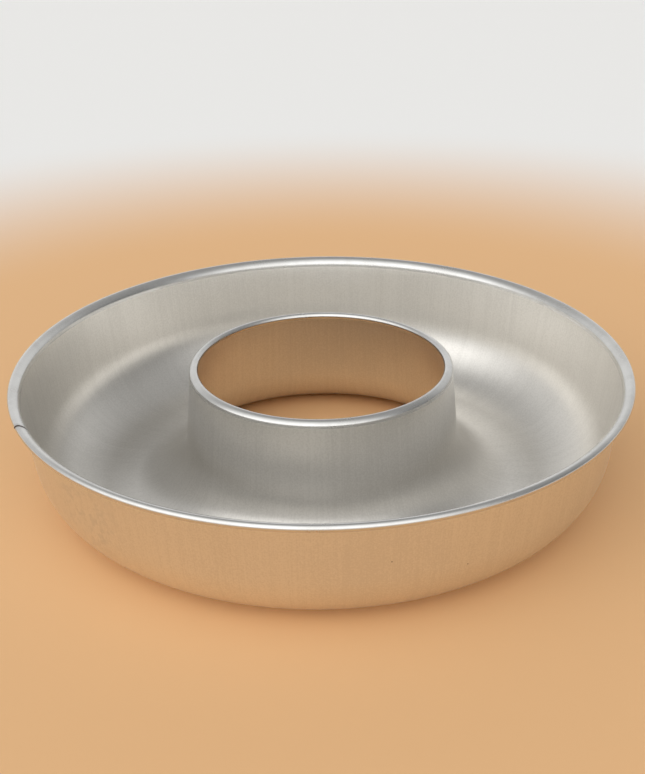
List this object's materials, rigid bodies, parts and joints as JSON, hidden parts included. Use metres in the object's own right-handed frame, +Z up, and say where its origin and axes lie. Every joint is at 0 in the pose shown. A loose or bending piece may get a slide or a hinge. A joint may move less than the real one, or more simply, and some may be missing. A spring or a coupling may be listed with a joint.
{
  "type": "ring cake pan",
  "caption": "Plain ring cake pan: a U-shaped sheet-metal trough round an open centre tube, with a wired bead closed over the outer rim and over the tube's rim.",
  "frame": {"origin": "on the pan's axis, on the plane that its floor ring stands on", "axes": "+Z up along the axis of the tube; the picture looks along +Y, with +X to the right"},
  "size_m": [0.26, 0.26, 0.053],
  "materials": {
    "satin_sheet": "satin drawn sheet",
    "rolled_rim": "smooth rolled sheet, brighter from handling",
    "core_wire": "plain drawn wire"
  },
  "bodies": {
    "root": {"pan_shell": "satin_sheet", "outer_rim_bead": "rolled_rim", "outer_rim_wire": "core_wire", "tube_rim_bead": "rolled_rim", "tube_rim_wire": "core_wire"}
  },
  "joints": []
}
